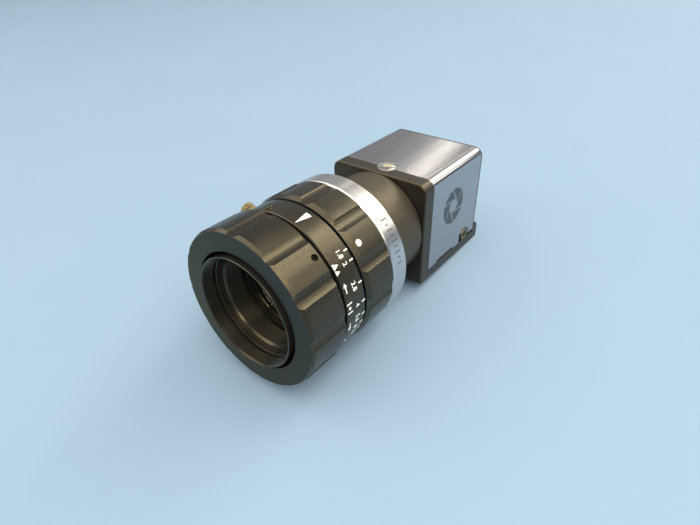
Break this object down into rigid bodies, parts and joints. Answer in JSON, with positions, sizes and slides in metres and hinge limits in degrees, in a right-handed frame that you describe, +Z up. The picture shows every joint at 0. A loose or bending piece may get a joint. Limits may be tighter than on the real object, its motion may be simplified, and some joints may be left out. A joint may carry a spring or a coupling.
{
  "type": "industrial camera with lens",
  "caption": "Small cube camera with a folded metal cover and a long manual lens: fluted focus and iris rings, iris scale, thumb lock and rear sockets.",
  "frame": {"origin": "mouth of the tripod thread in the middle of the camera's base", "axes": "+Z up out of the base, -Y the way the lens looks, +X to the right of someone who faces the lens"},
  "size_m": [0.0477, 0.0933, 0.0444],
  "materials": {
    "black_anodised": "matte",
    "black_plastic": "matte",
    "blackened_steel": "matte",
    "brass": "satin",
    "bright_ring": "satin",
    "ceramic": "satin",
    "chip": "matte",
    "circuit_board": "satin",
    "clear_plastic": "gloss",
    "cover_sheet": "satin",
    "filter_glass": "polished",
    "lens_glass": "polished",
    "nickel": "polished",
    "seal_rubber": "matte",
    "silicon": "gloss",
    "steel": "satin"
  },
  "bodies": {
    "camera": {"chassis": "black_anodised", "cover": "cover_sheet", "cover_top_screw": "nickel", "cover_side_screws": "brass", "rear_plate": "black_anodised", "filter_glass": "filter_glass", "filter_retainer": "black_anodised", "dust_seal": "seal_rubber", "sensor_package": "ceramic", "sensor_die": "silicon", "sensor_cover_glass": "lens_glass", "sensor_board": "circuit_board", "board_standoffs": "brass", "board_spacers": "black_plastic", "board_connector": "black_plastic", "main_board": "circuit_board", "board_screws": "steel", "usb_controller": "chip", "usb_socket": "steel", "usb_tongue": "black_plastic", "usb_lock_nuts": "nickel", "io_connector": "steel", "io_insert": "black_plastic", "io_jack_posts": "steel", "status_light": "clear_plastic", "lens_body": "black_anodised", "name_ring": "bright_ring", "guide_screw": "steel", "scale_ring": "black_anodised", "scale_ring_screw": "brass", "focus_stop_ring": "black_anodised"},
    "focus_ring": {"focus_ring": "black_anodised", "focus_set_screws": "blackened_steel", "focus_sleeve": "black_anodised", "helicoid_nut": "brass"},
    "optic_barrel": {"front_barrel": "black_anodised", "rear_cell": "black_anodised", "baffle_tube": "black_anodised", "front_retainer": "black_anodised", "rear_retainer": "black_anodised", "glass_spacer": "black_anodised", "iris_retainer": "black_anodised", "iris_housing": "black_anodised", "front_element": "lens_glass", "second_element": "lens_glass", "third_element": "lens_glass", "fourth_element": "lens_glass", "fifth_element": "lens_glass", "rear_element": "lens_glass"},
    "iris_ring": {"iris_ring": "black_anodised", "iris_link_screw": "blackened_steel"},
    "iris_cam": {"iris_cam_ring": "brass"},
    "iris_lock": {"iris_lock_screw": "brass"},
    "blade_1": {"iris_blade_1": "blackened_steel"},
    "blade_2": {"iris_blade_2": "blackened_steel"},
    "blade_3": {"iris_blade_3": "blackened_steel"},
    "blade_4": {"iris_blade_4": "blackened_steel"},
    "blade_5": {"iris_blade_5": "blackened_steel"},
    "blade_6": {"iris_blade_6": "blackened_steel"}
  },
  "joints": [
    {"name": "focus_turn", "type": "hinge", "parent": "camera", "child": "focus_ring", "pos_m": [0, -0.0653, 0.0171], "axis": [0, 1, 0], "range_deg": [-30, 180]},
    {"name": "focus_travel", "type": "slide", "parent": "camera", "child": "optic_barrel", "axis": [0, -1, 0], "range_m": [-0.0004, 0.0021]},
    {"name": "iris_turn", "type": "hinge", "parent": "camera", "child": "iris_ring", "pos_m": [0, -0.0453, 0.0171], "axis": [0, 1, 0], "range_deg": [0, 66]},
    {"name": "iris_cam_turn", "type": "hinge", "parent": "optic_barrel", "child": "iris_cam", "pos_m": [0, -0.0443, 0.0171], "axis": [0, 1, 0], "range_deg": [-1, 67]},
    {"name": "iris_lock_turn", "type": "hinge", "parent": "iris_ring", "child": "iris_lock", "pos_m": [-0.02025, -0.0479, 0.0257], "axis": [-0.9205, 0, 0.3907], "range_deg": [0, 360]},
    {"name": "blade_1_swing", "type": "hinge", "parent": "optic_barrel", "child": "blade_1", "pos_m": [0.01101, -0.0428, 0.02005], "axis": [0, 1, 0], "range_deg": [-0.5, 33.5]},
    {"name": "blade_2_swing", "type": "hinge", "parent": "optic_barrel", "child": "blade_2", "pos_m": [0.00295, -0.0428, 0.02811], "axis": [0, 1, 0], "range_deg": [-0.5, 33.5]},
    {"name": "blade_3_swing", "type": "hinge", "parent": "optic_barrel", "child": "blade_3", "pos_m": [-0.00806, -0.0428, 0.02516], "axis": [0, 1, 0], "range_deg": [-0.5, 33.5]},
    {"name": "blade_4_swing", "type": "hinge", "parent": "optic_barrel", "child": "blade_4", "pos_m": [-0.01101, -0.0428, 0.01415], "axis": [0, 1, 0], "range_deg": [-0.5, 33.5]},
    {"name": "blade_5_swing", "type": "hinge", "parent": "optic_barrel", "child": "blade_5", "pos_m": [-0.00295, -0.0428, 0.00609], "axis": [0, 1, 0], "range_deg": [-0.5, 33.5]},
    {"name": "blade_6_swing", "type": "hinge", "parent": "optic_barrel", "child": "blade_6", "pos_m": [0.00806, -0.0428, 0.00904], "axis": [0, 1, 0], "range_deg": [-0.5, 33.5]}
  ],
  "couplings": [
    {"joint": "focus_travel", "follows": "focus_turn", "m_per_rad": 0.00063662},
    {"joint": "iris_cam_turn", "follows": "iris_turn", "ratio": 1},
    {"joint": "blade_1_swing", "follows": "iris_turn", "ratio": 0.5},
    {"joint": "blade_2_swing", "follows": "iris_turn", "ratio": 0.5},
    {"joint": "blade_3_swing", "follows": "iris_turn", "ratio": 0.5},
    {"joint": "blade_4_swing", "follows": "iris_turn", "ratio": 0.5},
    {"joint": "blade_5_swing", "follows": "iris_turn", "ratio": 0.5},
    {"joint": "blade_6_swing", "follows": "iris_turn", "ratio": 0.5}
  ]
}
